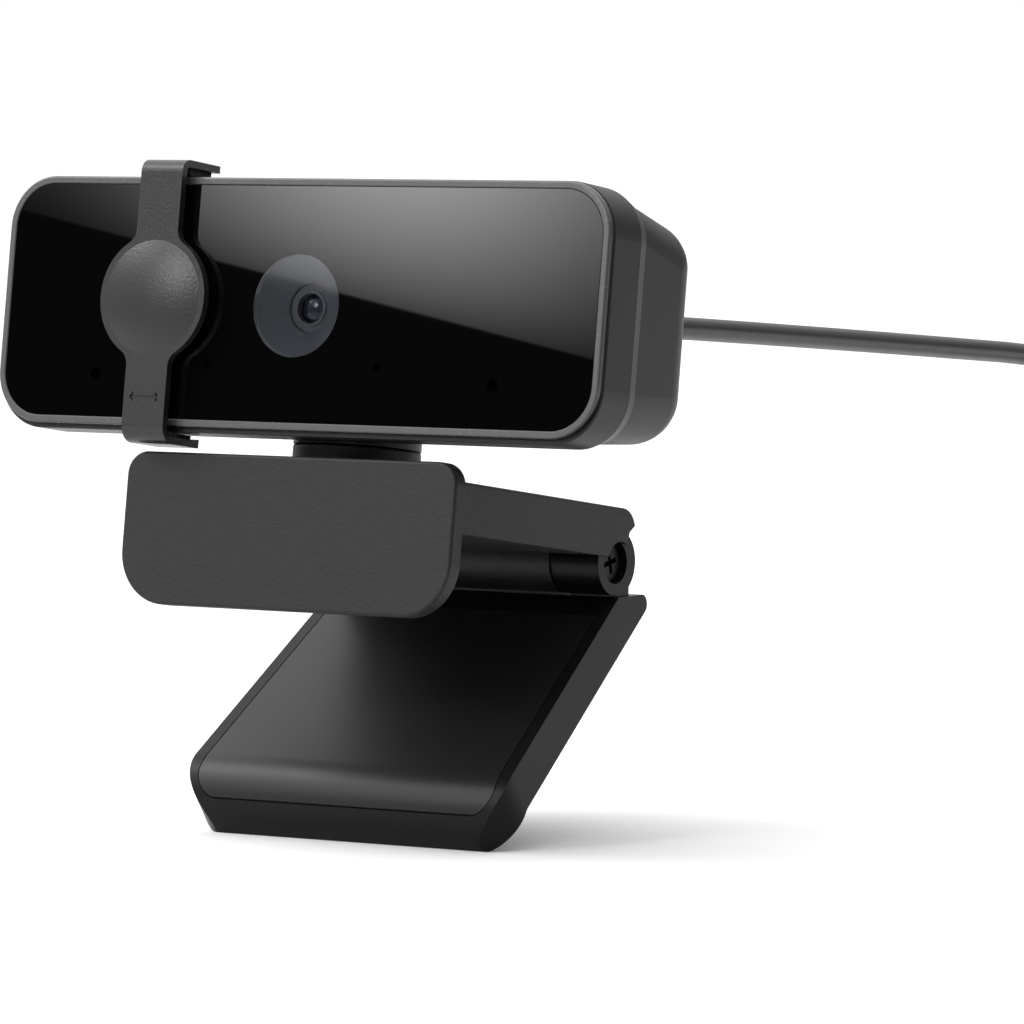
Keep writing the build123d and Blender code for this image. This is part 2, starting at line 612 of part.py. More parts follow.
def leg_plan(inset, top_z):
    """A prism of the leg's front view, inset from its sides and toe."""
    bottom = -LEG_TOE + inset
    top_half = LEG_HALF_W_AT_AXIS - LEG_TAPER * top_z - inset
    low_half = LEG_HALF_W_AT_AXIS - LEG_TAPER * bottom - inset
    points = [(-top_half, top_z), (top_half, top_z), (low_half, bottom), (-low_half, bottom)]
    radius = LEG_CORNER_R - inset * 1.8
    return extrude(rounded(Plane.XZ, points, {2: radius, 3: radius}), 40, both=True, dir=(0, 1, 0))


PAD_TOP_Z = -BARREL_R - 2.4
PAD_TOE_Y = LEG_HEEL_Y - 2.1       # the pad goes round the toe as far as this


def pad_solid(gap):
    """The soft pad's space: a skin off the leg's front and toe, gap wider all round."""
    skin = extrude(leg_profile(), 60, both=True, dir=(1, 0, 0)) - extrude(leg_profile(PAD_T), 70, both=True,
                                                                          dir=(1, 0, 0))
    near = block(-50, 50, 0, LEG_FACE + LEG_T / 2, -80, PAD_TOP_Z + gap)
    near += block(-50, 50, 0, PAD_TOE_Y + gap, -80, -LEG_HEEL + PAD_T + 0.4)
    return whole(skin & near & leg_plan(PAD_INSET - gap, PAD_TOP_Z + gap))


def make_leg_frame():
    body = whole(extrude(leg_profile(), 60, both=True, dir=(1, 0, 0)) & leg_plan(0.0, 12))
    half = KNUCKLE_IN_X - SWING_GAP
    body += Rot(X=LEG_SWING) * block(-half, half, 0.6, 7.5, -LEG_TOP_DROP - 1, -LEG_TOP_DROP + CRADLE_H)
    knuckle = rod_x(KNUCKLE_IN_X, KNUCKLE_END_X, 0, 0, BARREL_R)
    heel = rod_x(KNUCKLE_IN_X, KNUCKLE_END_X, KNUCKLE_BULGE, 0, BARREL_R)
    heel += block(KNUCKLE_IN_X, KNUCKLE_END_X, 0.2, 3.6, -LEG_TOP_DROP - 0.4, 0)
    knuckle += Rot(X=LEG_SWING) * heel
    body -= rod_x(-KNUCKLE_IN_X, KNUCKLE_IN_X, 0, 0, BARREL_R + SWING_GAP)
    for piece in both_sides(knuckle):
        body += piece
    body -= rod_x(-30, 30, 0, 0, HINGE_PIN_R + RUN_GAP)
    for side in (-1, 1):
        body -= rod_x(side * (HEAD_IN_X - RUN_GAP), side * 30, 0, 0, HINGE_SCREW_HEAD_R + 0.12)
    body -= pad_solid(PAD_SEAM)
    body -= rod_y(0, -INSERT_S, INSERT_R, LEG_FACE + LEG_T - INSERT_DEPTH, LEG_FACE + LEG_T + 1)
    return whole(body)


def make_leg_pad():
    return pad_solid(0.0)


def make_tripod_insert():
    back = LEG_FACE + LEG_T
    ring = rod_y(0, -INSERT_S, INSERT_R, back - INSERT_DEPTH, back)
    ring -= rod_y(0, -INSERT_S, INSERT_BORE_R, back - INSERT_DEPTH - 1, back + 1)
    return chamfer(ring.faces().sort_by(Axis.Y)[-1].inner_wires()[0].edges(), 0.3)


# ---- privacy shutter -------------------------------------------------------------------------------------
STRAP_IN_Y = -STRAP_FRONT_GAP
STRAP_OUT_Y = STRAP_IN_Y - STRAP_T
HOOK_TOP_IN = BAND_Z1 + HOOK_TOP_GAP
HOOK_LOW_IN = BAND_Z0 - HOOK_LOW_GAP


def shutter_path():
    """The C-shaped strap in side view."""
    top, low = HOOK_TOP_IN + HOOK_T, HOOK_LOW_IN - HOOK_T
    points = [(HOOK_REACH, top), (STRAP_OUT_Y, top), (STRAP_OUT_Y, low), (HOOK_REACH, low),
              (HOOK_REACH, HOOK_LOW_IN + 0.25), (HOOK_REACH - 1.0, HOOK_LOW_IN), (STRAP_IN_Y, HOOK_LOW_IN),
              (STRAP_IN_Y, HOOK_TOP_IN), (HOOK_REACH, HOOK_TOP_IN)]
    return rounded(Plane.YZ, points, {1: HOOK_TOP_ROUND, 2: HOOK_LOW_ROUND, 6: 0.6, 7: 0.6})


def make_privacy_shutter():
    strap = extrude(shutter_path(), STRAP_HALF_W, both=True, dir=(1, 0, 0))
    joint_z = math.sqrt(DISC_R ** 2 - STRAP_HALF_W ** 2)
    with BuildSketch(Plane(origin=(0, STRAP_IN_Y, DISC_Z), x_dir=(1, 0, 0), z_dir=(0, -1, 0))) as face:
        Circle(DISC_R)
        Rectangle(2 * STRAP_HALF_W, 2 * joint_z + 6)
        fillet(face.vertices().filter_by(lambda v: abs(v.Y) < joint_z + 1), DISC_NECK_R)
    body = strap + extrude(face.sketch.faces()[0], STRAP_T, dir=(0, -1, 0))
    body = whole(body)
    dome_r = DISC_R - DISC_RIM
    ball_r = (dome_r ** 2 + DISC_DOME ** 2) / (2 * DISC_DOME)
    body += (Pos(0, STRAP_OUT_Y - DISC_DOME + ball_r, DISC_Z) * Sphere(ball_r)
             & rod_y(0, DISC_Z, dome_r, STRAP_OUT_Y - DISC_DOME - 1, STRAP_OUT_Y + 0.5))
    body -= arrow_groove()
    return Pos(SHUTTER_X, 0, 0) * whole(body)


def arrow_groove():
    """A double-headed arrow engraved in the lower strap."""
    w, h, n = ARROW_LINE / 2, ARROW_HEAD, ARROW_HALF_L
    with BuildSketch(Plane(origin=(0, STRAP_OUT_Y, ARROW_Z), x_dir=(1, 0, 0), z_dir=(0, -1, 0))) as face:
        Rectangle(2 * n - h, 2 * w)
        with BuildLine():
            Polyline((n, 0), (n - h, h), (n - h, -h), close=True)
        make_face()
        with BuildLine():
            Polyline((-n, 0), (-n + h, h), (-n + h, -h), close=True)
        make_face()
    return extrude(face.sketch, ARROW_DEPTH, both=True, dir=(0, 1, 0))


def make_shutter_pads():
    half = STRAP_HALF_W - 0.5
    top = block(-half, half, STRAP_IN_Y + 1.4, HOOK_REACH - 1.4, BAND_Z1 + SHUTTER_PAD_CLEAR, HOOK_TOP_IN)
    low = block(-half, half, STRAP_IN_Y + 1.4, HOOK_REACH - 1.4, HOOK_LOW_IN, BAND_Z0 - SHUTTER_PAD_CLEAR)
    return Compound(children=[Pos(SHUTTER_X, 0, 0) * top, Pos(SHUTTER_X, 0, 0) * low])


# ---- cable gland, in the head frame ------------------------------------------------------------------------
def make_cable_gland():
    flange_y = COVER_BACK_Y - WALL
    tip_y = COVER_BACK_Y + GLAND_LEN
    gland = cone_y(CABLE_X, CABLE_Z, GLAND_R + 0.4, GLAND_TIP_R, COVER_BACK_Y, tip_y)
    gland += rod_y(CABLE_X, CABLE_Z, GLAND_R, flange_y - 0.1, COVER_BACK_Y)
    gland += rod_y(CABLE_X, CABLE_Z, GLAND_R + 1.4, flange_y - 1.5, flange_y - 0.1)
    for k in range(4):
        y = COVER_BACK_Y + 3.0 + 2.6 * k
        gland -= rod_y(CABLE_X, CABLE_Z, 6, y, y + 0.8) - rod_y(CABLE_X, CABLE_Z, CABLE_R + 0.45, y - 1, y + 2)
    return gland


# ---- standing the pieces up -----------------------------------------------------------------------------------
in_head_frame = {
    "front_housing": make_front_housing(), "trim_ring": make_trim_ring(), "front_glass": make_front_glass(),
    "lens_window": make_lens_window(), "lens_cone": make_lens_cone(), "lens_barrel": make_lens_barrel(),
    "lens_front_element": lens_disc(LENS_GLASS_R - 0.32, CONE_FLOOR_Y + 0.6, CONE_FLOOR_Y + 2.2, 0.6),
    "lens_rear_element": lens_disc(LENS_GLASS_R - 0.32, BARREL_BACK_Y - 3.0, BARREL_BACK_Y - 1.8, 0.4),
    "lens_holder": make_lens_holder(),
    "ir_filter": block(-2.6, 2.6, BARREL_BACK_Y + 0.05, BARREL_BACK_Y + 0.35, LENS_Z - 2.6, LENS_Z + 2.6),
    "image_sensor": block(-3.2, 3.2, BOARD_Y - 0.7, BOARD_Y, LENS_Z - 2.7, LENS_Z + 2.7),
    "main_board": make_board(), "board_screws": make_board_screws(), "microphones": make_microphones(),
    "microphone_boots": make_microphone_boots(), "light_pipes": make_light_pipes(),
    "status_leds": make_status_leds(),
    "video_chip": block(-18, -9, BOARD_BACK_Y, BOARD_BACK_Y + 1.1, -4.5, 4.5),
    "cable_connector": make_cable_connector(), "rear_cover": make_rear_cover(),
    "cable_gland": make_cable_gland(), "swivel_neck": make_swivel_neck(), "swivel_washer": make_swivel_washer(),
    "swivel_cap": make_swivel_cap(), "swivel_screw": make_swivel_screw(), "neck_screws": make_neck_screws(),
    "clip_plate": make_clip_plate(), "plate_pad": make_plate_pad(), "clip_arm": make_clip_arm(),
    "arm_floor": make_arm_floor(), "floor_screws": make_floor_screws(), "arm_pad": make_arm_pad(),
    "hinge_screws": make_hinge_screws(), "hinge_washers": make_hinge_washers(),
    "privacy_shutter": make_privacy_shutter(), "shutter_pads": make_shutter_pads(),
}
in_leg_frame = {"leg_frame": make_leg_frame(), "leg_pad": make_leg_pad(), "tripod_insert": make_tripod_insert()}

stand_up = Rot(X=-HEAD_TILT)
hinge_at = (stand_up * Pos(0, HINGE_Y, HINGE_Z)).position
standing = {name: stand_up * shape for name, shape in in_head_frame.items()}
for name, shape in in_leg_frame.items():
    standing[name] = Pos(hinge_at) * Rot(X=-LEG_SWING) * shape

# the origin is under the middle of the object, on the surface that it stands on
low = [min(tuple(s.bounding_box().min)[i] for s in standing.values()) for i in range(3)]
high = [max(tuple(s.bounding_box().max)[i] for s in standing.values()) for i in range(3)]
to_origin = Pos(0, -(low[1] + high[1]) / 2, -low[2])
nodes = {name: to_origin * shape for name, shape in standing.items()}

# ---- cable, drawn where it lies, behind the standing object ----------------------------------------------------
gland_tip = (to_origin * stand_up * Pos(CABLE_X, COVER_BACK_Y + GLAND_LEN, CABLE_Z)).position
CABLE_ROUTE = [            # from the gland: straight behind the head, then down to the surface and into the coil
    tuple(gland_tip), (0, 58, 73.0), (0, 115, 69.2), (0, 166, 65.6), (0, 200, 63.1), (-1.2, 222, 57.4),
    (-3, 243, 47.3), (-6, 261, 35.2), (-9.5, 279, 22.5), (-13, 297, 10.8), (-15.3, 312, 4.4), (-16, 325, 1.9)]
COIL_MEAN_R = 19.7
COIL_ACROSS = 3            # turns side by side
COIL_HIGH = 4              # and on each other
COIL_X = CABLE_ROUTE[-1][0] + COIL_MEAN_R + 2 * CABLE_R
COIL_Y = CABLE_ROUTE[-1][1] + 9
COIL_TURNS = 11.36
TIE_T = 0.9
TIE_W = 6.0
TIE_ANGLE = -100.0         # where the tie goes round the coil's turns, in degrees about the coil's centre
PLUG_X = COIL_X + 36.0
PLUG_Y = COIL_Y - 25.0     # the plug's strain relief starts here, and the plug points towards -Y
PLUG_H = 8.0
PLUG_W = 15.8
PLUG_LEN = 22.0
PLUG_RELIEF_LEN = 10.0
SHELL_W = 12.0
SHELL_H = 4.5
SHELL_LEN = 18.7
SHELL_WALL = 0.3
TONGUE_W = 11.2
TONGUE_H = 1.84
FLOOR_LIFT = 0.05          # cord pieces stay this far above the surface
TAIL_ROUTE = [             # from the top of the coil down to the plug
    (COIL_X + 15.0, COIL_Y + 17.9, 13.3), (COIL_X + 25.5, COIL_Y + 8.5, 12.4), (COIL_X + 32.5, COIL_Y - 2.5, 8.6),
    (COIL_X + 35.6, COIL_Y - 14.0, 5.2), (PLUG_X, PLUG_Y, PLUG_H / 2 + FLOOR_LIFT)]


def tube(name, route):
    """A round cable along straight runs joined by tangent arcs."""
    points = [Vector(*p) for p in route]
    runs = [b - a for a, b in zip(points, points[1:])]
    radii = [0.45 * min(a.length, b.length) / math.tan(math.radians(a.get_angle(b)) / 2)
             for a, b in zip(runs, runs[1:])]
    path = FilletPolyline(*points, radius=radii)
    start = Plane(origin=path @ 0, z_dir=path % 0)
    solid = sweep(start * Circle(CABLE_R), path=path)
    print(name, "length", round(path.length, 1), "radii", [round(r) for r in radii], "volume",
          round(solid.volume), "section x length", round(math.pi * CABLE_R ** 2 * path.length))
    return solid


def coil_ring(inner, outer, z0, z1, round_off):
    ring = rod_z(COIL_X, COIL_Y, outer, z0, z1) - rod_z(COIL_X, COIL_Y, inner, z0 - 1, z1 + 1)
    return fillet(ring.edges().filter_by(GeomType.CIRCLE), round_off) if round_off else ring


COIL_IN_R = COIL_MEAN_R - COIL_ACROSS * CABLE_R
COIL_OUT_R = COIL_MEAN_R + COIL_ACROSS * CABLE_R
COIL_TOP_Z = FLOOR_LIFT + TIE_T + 2 * CABLE_R * COIL_HIGH


def tie_box(grow):
    """The tie's section, grown outwards, as a block through the coil's turns at the tie's angle."""
    length = COIL_OUT_R - COIL_IN_R + 2 * grow
    box = block(0, length, -TIE_W / 2, TIE_W / 2, FLOOR_LIFT + TIE_T - grow, COIL_TOP_Z + grow)
    return Pos(COIL_X, COIL_Y, 0) * Rot(Z=TIE_ANGLE) * Pos(COIL_IN_R - grow, 0, 0) * box


def make_cable_coil():
    ring = coil_ring(COIL_IN_R, COIL_OUT_R, FLOOR_LIFT, COIL_TOP_Z, CABLE_R * 0.9)
    return whole(ring - (tie_box(TIE_T) - tie_box(0)))


def make_usb_plug_body():
    z = PLUG_H / 2 + FLOOR_LIFT
    body_y = PLUG_Y - PLUG_RELIEF_LEN
    body = Pos(PLUG_X, body_y - PLUG_LEN / 2, z) * Box(PLUG_W, PLUG_LEN, PLUG_H)
    body = fillet(body.edges().filter_by(Axis.Y), 2.2)
    body = fillet(body.faces().sort_by(Axis.Y)[-1].edges(), 1.2)
    relief = cone_y(PLUG_X, z, 3.3, 2.4, body_y - 0.5, PLUG_Y)
    for k in range(3):
        y = body_y + 2.0 + 2.6 * k
        relief -= rod_y(PLUG_X, z, 6, y, y + 0.9) - rod_y(PLUG_X, z, CABLE_R + 0.45, y - 1, y + 2)
    body += relief
    y0 = body_y - PLUG_LEN
    body -= Pos(PLUG_X, y0 + 1.5, z) * Box(SHELL_W, 3.0, SHELL_H)
    return whole(body)


def make_usb_plug_shell():
    z = PLUG_H / 2 + FLOOR_LIFT
    back = PLUG_Y - PLUG_RELIEF_LEN - PLUG_LEN + 3.0
    middle = back - (SHELL_LEN + 3.0) / 2
    shell = Pos(PLUG_X, middle, z) * Box(SHELL_W, SHELL_LEN + 3.0, SHELL_H)
    shell = fillet(shell.edges().filter_by(Axis.Y), 0.5)
    shell -= Pos(PLUG_X, middle - 1.0, z) * Box(SHELL_W - 2 * SHELL_WALL, SHELL_LEN + 3.0, SHELL_H - 2 * SHELL_WALL)
    for dx in (-2.9, 2.9):
        for dz in (-SHELL_H / 2, SHELL_H / 2):
            shell -= Pos(PLUG_X + dx, back - 3.0 - 8.4, z + dz) * Box(2.3, 2.3, 1.2)
    return whole(shell)


def make_usb_plug_tongue():
    """The insulating tongue against the shell's upper inside face."""
    z = PLUG_H / 2 + FLOOR_LIFT + SHELL_H / 2 - SHELL_WALL - TONGUE_H / 2
    back = PLUG_Y - PLUG_RELIEF_LEN - PLUG_LEN + 2.0
    return Pos(PLUG_X, back - SHELL_LEN / 2, z) * Box(TONGUE_W, SHELL_LEN, TONGUE_H)


def make_usb_plug_contacts():
    z = PLUG_H / 2 + FLOOR_LIFT + SHELL_H / 2 - SHELL_WALL - TONGUE_H
    front = PLUG_Y - PLUG_RELIEF_LEN - PLUG_LEN - SHELL_LEN + 3.4
    strips = []
    for dx, length in ((-3.5, 7.4), (-1.0, 6.4), (1.0, 6.4), (3.5, 7.4)):
        strips.append(block(PLUG_X + dx - 0.5, PLUG_X + dx + 0.5, front, front + length, z - 0.15, z))
    return Compound(children=strips)


nodes["usb_cable"] = tube("usb_cable", CABLE_ROUTE)
nodes["usb_cable_tail"] = tube("usb_cable_tail", TAIL_ROUTE)
nodes["usb_cable_coil"] = make_cable_coil()
nodes["cable_tie"] = tie_box(TIE_T) - tie_box(0)
nodes["usb_plug_body"] = make_usb_plug_body()
nodes["usb_plug_shell"] = make_usb_plug_shell()
nodes["usb_plug_tongue"] = make_usb_plug_tongue()
nodes["usb_plug_contacts"] = make_usb_plug_contacts()

for name, shape in nodes.items():
    export_step(shape, f"parts/{name}.step")
print("face centre", to_origin.position, "gland tip", gland_tip, "hinge", (to_origin * Pos(hinge_at)).position)
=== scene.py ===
import math

import bpy
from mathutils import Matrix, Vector


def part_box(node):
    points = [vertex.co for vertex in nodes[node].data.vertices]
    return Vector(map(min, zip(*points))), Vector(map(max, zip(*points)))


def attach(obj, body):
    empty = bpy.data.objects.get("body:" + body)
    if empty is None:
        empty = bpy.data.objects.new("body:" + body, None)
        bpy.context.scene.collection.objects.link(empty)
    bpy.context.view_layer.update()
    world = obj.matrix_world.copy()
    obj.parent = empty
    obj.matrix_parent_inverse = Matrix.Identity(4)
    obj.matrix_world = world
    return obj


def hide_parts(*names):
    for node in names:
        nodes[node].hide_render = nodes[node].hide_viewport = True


# Clip-on webcam standing on its folded-out clip leg, with its USB cable coiled behind it.
# Metres, +Z up, the lens looks along -Y, the origin is on the table under the middle of the webcam.
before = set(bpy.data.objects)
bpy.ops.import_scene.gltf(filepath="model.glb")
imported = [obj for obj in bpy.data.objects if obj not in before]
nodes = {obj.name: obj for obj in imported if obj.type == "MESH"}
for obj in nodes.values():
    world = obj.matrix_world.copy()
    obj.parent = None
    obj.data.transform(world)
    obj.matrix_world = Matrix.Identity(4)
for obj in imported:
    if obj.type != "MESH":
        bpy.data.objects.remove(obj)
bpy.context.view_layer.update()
bpy.ops.object.select_all(action="DESELECT")


# ---- camera --------------------------------------------------------------------------------------
# A long lens a little above the height of the face, well round to the webcam's right-hand side.
# The aim is the middle of the front glass.
glass_low, glass_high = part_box("front_glass")
glass_middle = Vector(((glass_low[i] + glass_high[i]) / 2 for i in range(3)))
face_centre = Vector((0.0, -0.0249823, 0.0782084))
bpy.ops.object.camera_add(location=face_centre + Vector((0.55551, -0.79396, 0.03194)),
                          rotation=(math.radians(90 - 3.64), 0, math.radians(33.16)))
camera = bpy.context.object
camera.data.sensor_width = 36.0
camera.data.lens = 239.06
camera.data.clip_end = 50.0
bpy.context.scene.camera = camera


# ---- USB cable -----------------------------------------------------------------------------------
# A round 3.7 mm lead with a smooth PVC jacket, 1.8 m long, moulded into a strain relief at each end.
# It runs straight out of the head, sinks to the table and is wound into a neat coil of three by four turns.
CABLE_R = 0.00185
cable_run = [(0, 0.015937, 0.075487), (0, 0.058, 0.073), (0, 0.115, 0.0692), (0, 0.166, 0.0656),
             (0, 0.2, 0.0631), (-0.0012, 0.222, 0.0574), (-0.003, 0.243, 0.0473), (-0.006, 0.261, 0.0352),
             (-0.0095, 0.279, 0.0225), (-0.013, 0.297, 0.0108), (-0.0153, 0.312, 0.0044), (-0.016, 0.325, 0.0019)]
coil_low, coil_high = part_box("usb_cable_coil")
coil_x, coil_y = (coil_low[0] + coil_high[0]) / 2, (coil_low[1] + coil_high[1]) / 2
coil_mean_r = (coil_high[0] - coil_low[0]) / 2 - 3 * CABLE_R
TIE_T = 0.0009
TIE_ANGLE = math.radians(-100)
PER_TURN = 16              # points in one turn
COIL_TURNS = 11.36
STEP_START = 0.75          # the last quarter of a turn carries the lead over to the next place
tail_run = [(coil_x + 0.0255, coil_y + 0.0085, 0.0124), (coil_x + 0.0325, coil_y - 0.0025, 0.0086),
            (coil_x + 0.0356, coil_y - 0.014, 0.0052), (coil_x + 0.036, coil_y - 0.025, 0.00405)]


def turn_place(turn):
    """Radius and height of a whole turn: layers go in, out, in and out again."""
    layer, across = divmod(turn, 3)
    column = 1 - across if layer % 2 == 0 else across - 1
    return coil_mean_r + column * 2 * CABLE_R, CABLE_R + 0.00005 + layer * 2 * CABLE_R


coil_points = []
for step in range(int(COIL_TURNS * PER_TURN) + 1):
    turn, part = divmod(step / PER_TURN, 1.0)
    ease = max(0.0, (part - STEP_START) / (1 - STEP_START))
    ease = ease * ease * (3 - 2 * ease)
    (r0, z0), (r1, z1) = turn_place(int(turn)), turn_place(int(turn) + 1)
    angle = math.pi - math.tau * step / PER_TURN
    radius = (r0 + (r1 - r0) * ease) / math.cos(math.pi / PER_TURN)
    lift = TIE_T * max(0.0, math.cos(angle - TIE_ANGLE)) ** 4
    coil_points.append((coil_x + radius * math.cos(angle), coil_y + radius * math.sin(angle),
                        z0 + (z1 - z0) * ease + lift))

cable_curve = bpy.data.curves.new("usb_cable_lead", "CURVE")
cable_curve.dimensions = "3D"
route = cable_run + coil_points + tail_run
spline = cable_curve.splines.new("NURBS")
spline.points.add(len(route) - 1)
for point, place in zip(spline.points, route):
    point.co = (*place, 1.0)
spline.order_u = 3
spline.use_endpoint_u = True
spline.resolution_u = 4
cable_curve.bevel_depth = CABLE_R
cable_curve.bevel_resolution = 3
cable_curve.use_fill_caps = True
cable = bpy.data.objects.new("usb_cable_lead", cable_curve)
bpy.context.collection.objects.link(cable)


def linear(hex_colour):
    """An sRGB hex colour as linear RGBA."""
    parts = [int(hex_colour[i:i + 2], 16) / 255 for i in (1, 3, 5)]
    return (*[p / 12.92 if p <= 0.04045 else ((p + 0.055) / 1.055) ** 2.4 for p in parts], 1.0)


def add(tree, kind, inputs=None, **settings):
    """Adds a node with its settings; an input is a value or the output that feeds it."""
    node = tree.nodes.new(kind)
    for name, value in settings.items():
        setattr(node, name, value)
    for name, value in (inputs or {}).items():
        if isinstance(value, bpy.types.NodeSocket):
            tree.links.new(value, node.inputs[name])
        else:
            node.inputs[name].default_value = value
    return node


def start_material(name, colour, **surface):
    """A new material: its node tree, its surface shader and the Object coordinates."""
    material = bpy.data.materials.new(name)
    material.use_nodes = True
    tree = material.node_tree
    shader = tree.nodes["Principled BSDF"]
    shader.inputs["Base Color"].default_value = linear(colour)
    for socket, value in surface.items():
        shader.inputs[socket.replace("_", " ")].default_value = value
    return material, tree, shader, add(tree, "ShaderNodeTexCoord").outputs["Object"]


def wear(material, *names):
    """Gives CAD pieces this material."""
    for name in names:
        nodes[name].data.materials.clear()
        nodes[name].data.materials.append(material)


# PVC jacket: extruded, satin, with a very slight waviness along its length.
jacket, tree, shader, here = start_material("pvc cable jacket", "#2C2C2E", Roughness=0.38, IOR=1.52)
wave = add(tree, "ShaderNodeTexNoise", {"Vector": here, "Scale": 1 / 0.012, "Detail": 2.0})
bump = add(tree, "ShaderNodeBump", {"Height": wave.outputs[0], "Strength": 0.25, "Distance": 0.0002})
tree.links.new(bump.outputs[0], shader.inputs["Normal"])
grime = add(tree, "ShaderNodeTexNoise", {"Vector": here, "Scale": 1 / 0.0016, "Detail": 3.0})
rough = add(tree, "ShaderNodeMapRange", {0: grime.outputs[0], 3: 0.32, 4: 0.46})
tree.links.new(rough.outputs[0], shader.inputs["Roughness"])
cable_curve.materials.append(jacket)
wear(jacket, "cable_gland", "usb_plug_body")

# Hook and loop strap: woven nylon loops, black.
strap, tree, shader, here = start_material("woven nylon strap", "#141416", Roughness=0.85, IOR=1.5)
shader.inputs["Sheen Weight"].default_value = 0.3
weave = add(tree, "ShaderNodeTexVoronoi", {"Vector": here, "Scale": 1 / 0.0005})
bump = add(tree, "ShaderNodeBump", {"Height": weave.outputs["Distance"], "Strength": 0.7, "Distance": 0.0002})
tree.links.new(bump.outputs[0], shader.inputs["Normal"])
wear(strap, "cable_tie")

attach(cable, "head")
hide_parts("usb_cable", "usb_cable_coil", "usb_cable_tail")


# ---- USB plug ------------------------------------------------------------------------------------
# A drawn steel shell, nickel plated, round a black moulded tongue with four gold plated contacts.
plated, tree, shader, here = start_material("nickel plated steel", "#C9C8C4", Metallic=1.0, Roughness=0.24)
scratch = add(tree, "ShaderNodeTexNoise", {"Vector": here, "Scale": 1 / 0.0008, "Detail": 4.0})
rough = add(tree, "ShaderNodeMapRange", {0: scratch.outputs[0], 3: 0.18, 4: 0.36})
tree.links.new(rough.outputs[0], shader.inputs["Roughness"])
wear(plated, "usb_plug_shell", "board_screws", "floor_screws", "swivel_screw", "swivel_cap", "neck_screws")

insulator, tree, shader, here = start_material("glass filled nylon", "#1D1D20", Roughness=0.5, IOR=1.52)
fleck = add(tree, "ShaderNodeTexNoise", {"Vector": here, "Scale": 1 / 0.0003, "Detail": 2.0})
bump = add(tree, "ShaderNodeBump", {"Height": fleck.outputs[0], "Strength": 0.3, "Distance": 0.00004})
tree.links.new(bump.outputs[0], shader.inputs["Normal"])
wear(insulator, "usb_plug_tongue")

gold, tree, shader, here = start_material("gold plating", "#E0B45A", Metallic=1.0, Roughness=0.2)
wear(gold, "usb_plug_contacts")


# ---- head housing --------------------------------------------------------------------------------
# Two ABS mouldings, a deep front frame and a rear cover, snapped together at the bevelled split line.
# The mould gave them a fine spark-eroded grain that keeps reflections soft and even.
housing, tree, shader, here = start_material("spark grained abs", "#222223", Roughness=0.36, IOR=1.52)
shader.inputs["Specular IOR Level"].default_value = 0.3
grain = add(tree, "ShaderNodeTexNoise", {"Vector": here, "Scale": 1 / 0.00035, "Detail": 3.0, "Roughness": 0.6})
bump = add(tree, "ShaderNodeBump", {"Height": grain.outputs[0], "Strength": 0.35, "Distance": 0.00006})
tree.links.new(bump.outputs[0], shader.inputs["Normal"])
cloud = add(tree, "ShaderNodeTexNoise", {"Vector": here, "Scale": 1 / 0.02, "Detail": 3.0})
rough = add(tree, "ShaderNodeMapRange", {0: cloud.outputs[0], 3: 0.38, 4: 0.47})
tree.links.new(rough.outputs[0], shader.inputs["Roughness"])
wear(housing, "front_housing", "rear_cover", "microphone_boots")

# The trim ring is the same plastic with a satin lacquer, so its rounded edge catches a thin bright line, and its
# light grey colour is a painted highlight over the whole ring.
ring_abs_painted_highlight, tree, shader, here = start_material("satin abs painted light as highlight", "#68686A", Roughness=0.25, IOR=1.5)
fine = add(tree, "ShaderNodeTexNoise", {"Vector": here, "Scale": 1 / 0.001, "Detail": 2.0})
rough = add(tree, "ShaderNodeMapRange", {0: fine.outputs[0], 3: 0.22, 4: 0.3})
tree.links.new(rough.outputs[0], shader.inputs["Roughness"])
wear(ring_abs_painted_highlight, "trim_ring")


# ---- front glass ---------------------------------------------------------------------------------
# One sheet of 0.8 mm acrylic, printed black on its back, so the face is a deep black mirror.
acrylic, tree, shader, here = start_material("back printed acrylic", "#0A0A0B", Roughness=0.01, IOR=1.49)
smear = add(tree, "ShaderNodeTexNoise", {"Vector": here, "Scale": 1 / 0.03, "Detail": 4.0})
rough = add(tree, "ShaderNodeMapRange", {0: smear.outputs[0], 3: 0.006, 4: 0.014})
tree.links.new(rough.outputs[0], shader.inputs["Roughness"])
wear(acrylic, "front_glass")


# ---- lens ----------------------------------------------------------------------------------------
# A clear window in the printed sheet, a cone behind it coloured mid grey as painted light, and a small coated
# glass lens in a barrel.
# The smoked light pipes in the two small holes and the board's parts are nearly hidden behind the sheet.
clear, tree, shader, here = start_material("clear acrylic", "#C8CBD0", Roughness=0.02, IOR=1.49)
shader.inputs["Transmission Weight"].default_value = 1.0
wear(clear, "lens_window")

# The cone, barrel and holder are coloured mid grey, painted light that stands in for the light reaching them
# through the window.
lens_plastic_painted_light, tree, shader, here = start_material("matte polycarbonate painted light grey", "#77777A", Roughness=0.5, IOR=1.58)
mould = add(tree, "ShaderNodeTexNoise", {"Vector": here, "Scale": 1 / 0.0003, "Detail": 2.0})
bump = add(tree, "ShaderNodeBump", {"Height": mould.outputs[0], "Strength": 0.3, "Distance": 0.00004})
tree.links.new(bump.outputs[0], shader.inputs["Normal"])
wear(lens_plastic_painted_light, "lens_cone", "lens_barrel", "lens_holder")

coated, tree, shader, here = start_material("coated optical glass", "#3C3D40", Roughness=0.12, IOR=1.6)
shader.inputs["Coat Weight"].default_value = 0.3
shader.inputs["Coat Tint"].default_value = linear("#8FA2D8")
wear(coated, "lens_front_element", "lens_rear_element", "ir_filter")

pipe, tree, shader, here = start_material("smoked light pipe", "#050505", Roughness=0.6, IOR=1.49)
shader.inputs["Specular IOR Level"].default_value = 0.0
wear(pipe, "light_pipes", "status_leds")

